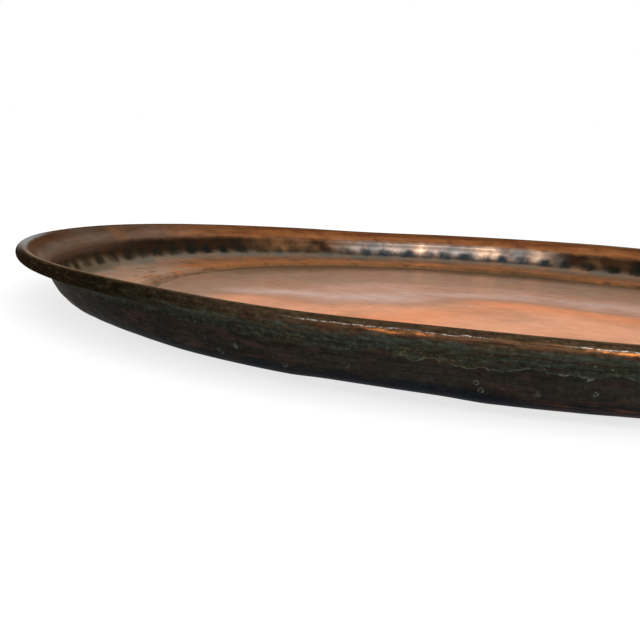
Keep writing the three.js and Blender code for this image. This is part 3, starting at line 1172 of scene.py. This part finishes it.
# Painted shade: some sides of the outside are darker.
crust.shade([crust.stretches(SHADED_SIDES, 14)], PAINTED_SIDE_SHADE)
crust.shade([crust.patches(2.5, 0.5, 0.3, seed=53)], GRIT)
crust.shade([corner, crust.streaks(7, 1.4, 0.42, 0.22, seed=97)], DARK_FLECKS)
crust.shade([corner, crust.patches(2.4, 0.38, 0.2, seed=98)], PALE_FLECKS)
crust.shade([crust.patches(3, 0.42, 0.22, seed=99)], WALL_FLECKS)
crust.layer([crust.band(374, crease_line, wander=1.5, size=20, softness=2, seed=100),
             crust.streaks(20, 4, 0.2, 0.12, seed=101)], RED_MOTTLE, 0.2, 0.45)
crust.raise_by(crust.patches(2.5, 0.5, 0.3, seed=40), 0.08)
crust.raise_by(crust.streaks(20, 1, 0.5, 0.3, seed=41), 0.06)
crust.close(edge_tint=(0.35, 0.32, 0.3, 1.0), specular=0.01)

# %% [markdown]
# ## Iron
#
# The wire only shows as a dark line deep in the roll. It gets a dull grey-brown iron with a
# little rust.

# %% Material: dull iron
DULL_IRON = paint(84, 78, 72)
RUST = paint(96, 62, 42)

wire_finish = Finish(iron, DULL_IRON, metal=0.9, rough=0.55)
wire_finish.layer([wire_finish.patches(8, 0.5, 0.1, seed=50)], RUST, 0.2, 0.8, raised=0.04)
wire_finish.close(edge_tint=(1.0, 1.0, 1.0, 1.0), specular=0.3)

# %% [markdown]
# ## Table
#
# The tray stands on a plain white floor. Where it is seen, directly or mirrored in the copper, it
# glows just enough to look white. For all other light it is matt white. Part of the white that is
# seen is reflected light, so the tray still casts a soft shadow.

# %% Helper: is this ray one that shows the background?
def sees_background(tree):
    """1 where the camera sees a thing directly, mirrored or through glass, else 0."""
    path = tree.nodes.new("ShaderNodeLightPath").outputs
    seen = calculate(tree, "MAXIMUM", path["Is Camera Ray"], path["Is Glossy Ray"])
    return calculate(tree, "MAXIMUM", seen, path["Is Transmission Ray"])


print("helper for the background is ready")

# %% Floor
FLOOR_RADIUS = 40
FLOOR_BELOW = 0.0003
FLOOR_GLOW = 0.75
FLOOR_REFLECTS = 0.4
MATT_WHITE = (0.8, 0.8, 0.8, 1)
WHITE = (1, 1, 1, 1)

disc = bmesh.new()
bmesh.ops.create_circle(disc, cap_ends=True, radius=FLOOR_RADIUS, segments=96,
                        matrix=Matrix.Translation((0, 0, -FLOOR_BELOW)))
floor = finished_object("floor", disc)
floor_white = bpy.data.materials.new("floor_white")
floor.data.materials.append(floor_white)
floor_white.use_nodes = True
tree = floor_white.node_tree
tree.nodes.clear()
matt = add(tree, "ShaderNodeBsdfDiffuse", {"Color": MATT_WHITE})
half_matt = add(tree, "ShaderNodeBsdfDiffuse", {"Color": (FLOOR_REFLECTS,) * 3 + (1,)})
glow = add(tree, "ShaderNodeEmission", {"Color": WHITE, "Strength": FLOOR_GLOW})
shown = add(tree, "ShaderNodeAddShader", {0: half_matt.outputs[0], 1: glow.outputs[0]})
floor_mix = add(tree, "ShaderNodeMixShader",
                {0: sees_background(tree), 1: matt.outputs[0], 2: shown.outputs[0]})
add(tree, "ShaderNodeOutputMaterial", {"Surface": floor_mix.outputs[0]})
print("floor of", len(floor.data.vertices), "corners")

# %% [markdown]
# ## Light
#
# White surroundings light the tray from everywhere. One large soft lamp stands behind the camera
# on the right: its reflection, with the highlights painted on the wall, makes the steep far wall
# sparkle under the lip.

# %% World and lamp
AMBIENT = 0.7
LAMP_PLACE = Vector((0.75, -1.6, 1.05))
LAMP_SIZE = (2.4, 1.0)
LAMP_POWER = 26

world = bpy.data.worlds.new("studio")
bpy.context.scene.world = world
world.use_nodes = True
tree = world.node_tree
tree.links.new(mixed(tree, sees_background(tree), AMBIENT, 1.0),
               tree.nodes["Background"].inputs["Strength"])
tree.nodes["Background"].inputs["Color"].default_value = WHITE

key = bpy.data.lights.new("soft_lamp", "AREA")
key.shape = "RECTANGLE"
key.size, key.size_y = LAMP_SIZE
key.energy = LAMP_POWER
lamp = bpy.data.objects.new("soft_lamp", key)
lamp.location = LAMP_PLACE
lamp.rotation_euler = LAMP_PLACE.to_track_quat("Z", "Y").to_euler()
bpy.context.scene.collection.objects.link(lamp)
brightness = LAMP_POWER / math.pi / LAMP_SIZE[0] / LAMP_SIZE[1]
print("lamp", LAMP_SIZE, "m, brightness", round(brightness, 1))

# %% View transform and last update
bpy.context.scene.view_settings.view_transform = "Standard"
bpy.context.view_layer.update()
